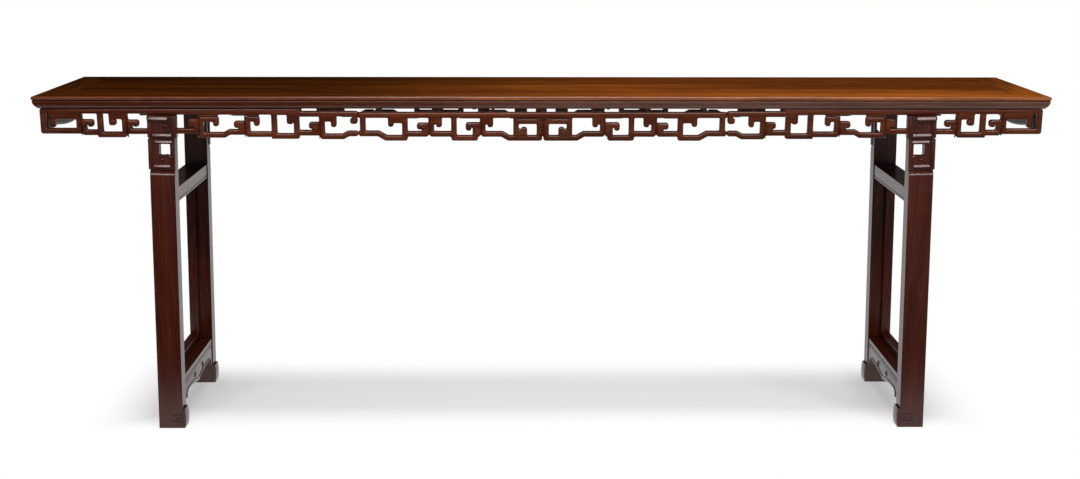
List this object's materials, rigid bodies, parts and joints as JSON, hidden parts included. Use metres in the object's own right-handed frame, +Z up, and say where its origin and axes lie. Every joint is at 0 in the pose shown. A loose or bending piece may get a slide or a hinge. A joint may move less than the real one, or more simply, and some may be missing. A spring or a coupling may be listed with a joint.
{
  "type": "chinese altar table",
  "caption": "Long narrow altar table in dark polished hardwood with a flush framed top, openwork fret aprons and splayed trestle legs.",
  "frame": {"origin": "on the floor, under the middle of the top", "axes": "+X along the table to the right, +Y to the back, +Z up"},
  "size_m": [2.68, 0.45, 0.925],
  "materials": {
    "top_frame": "polished dark hardwood",
    "top_panel": "polished dark hardwood",
    "brace": "polished dark hardwood",
    "peg": "polished dark hardwood",
    "fret": "polished dark hardwood",
    "end_apron": "polished dark hardwood",
    "leg": "polished dark hardwood",
    "trestle": "polished dark hardwood"
  },
  "bodies": {
    "root": {"back_apron_centre": "fret", "back_apron_left": "fret", "back_apron_pegs": "peg", "back_apron_right": "fret", "end_apron_left": "end_apron", "end_apron_right": "end_apron", "front_apron_centre": "fret", "front_apron_left": "fret", "front_apron_pegs": "peg", "front_apron_right": "fret", "inner_frame_rail_high_left": "trestle", "inner_frame_rail_high_right": "trestle", "inner_frame_rail_low_left": "trestle", "inner_frame_rail_low_right": "trestle", "inner_frame_stile_back_left": "trestle", "inner_frame_stile_back_right": "trestle", "inner_frame_stile_front_left": "trestle", "inner_frame_stile_front_right": "trestle", "leg_back_left": "leg", "leg_back_right": "leg", "leg_front_left": "leg", "leg_front_right": "leg", "low_apron_inner_left": "trestle", "low_apron_inner_right": "trestle", "low_apron_outer_left": "trestle", "low_apron_outer_right": "trestle", "lower_stretcher_left": "trestle", "lower_stretcher_right": "trestle", "top_board_back": "top_panel", "top_board_front": "top_panel", "top_board_spline": "top_panel", "top_brace_1": "brace", "top_brace_2": "brace", "top_brace_3": "brace", "top_brace_4": "brace", "top_brace_5": "brace", "top_brace_6": "brace", "top_member_back": "top_frame", "top_member_front": "top_frame", "top_member_left": "top_frame", "top_member_right": "top_frame", "upper_stretcher_left": "trestle", "upper_stretcher_right": "trestle"}
  },
  "joints": []
}
